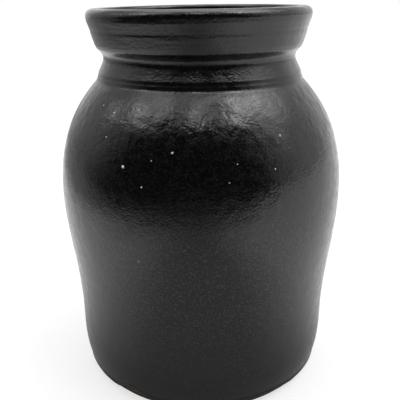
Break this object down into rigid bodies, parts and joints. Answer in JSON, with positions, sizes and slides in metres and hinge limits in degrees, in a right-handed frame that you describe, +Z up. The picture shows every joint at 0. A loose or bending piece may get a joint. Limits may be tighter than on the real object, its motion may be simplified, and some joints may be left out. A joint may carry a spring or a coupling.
{
  "type": "bean pot",
  "caption": "Open glazed stoneware bean pot: full round belly, short neck with two turned steps at its foot, flared collar with a lid seat inside, flat foot ring.",
  "frame": {"origin": "centre of the foot ring, on the surface the pot stands on", "axes": "+Z up the pot's axis and out of the mouth; -Y faces the camera of the picture, +X to its right"},
  "size_m": [0.1467, 0.1467, 0.1905],
  "materials": {
    "stoneware_clay": "bare fired clay, matte",
    "outer_glaze": "satin black glaze, orange-peel",
    "inner_glaze": "glossy black liner glaze"
  },
  "bodies": {
    "root": {"stoneware_body": "stoneware_clay", "outer_glaze": "outer_glaze", "inner_glaze": "inner_glaze"}
  },
  "joints": []
}
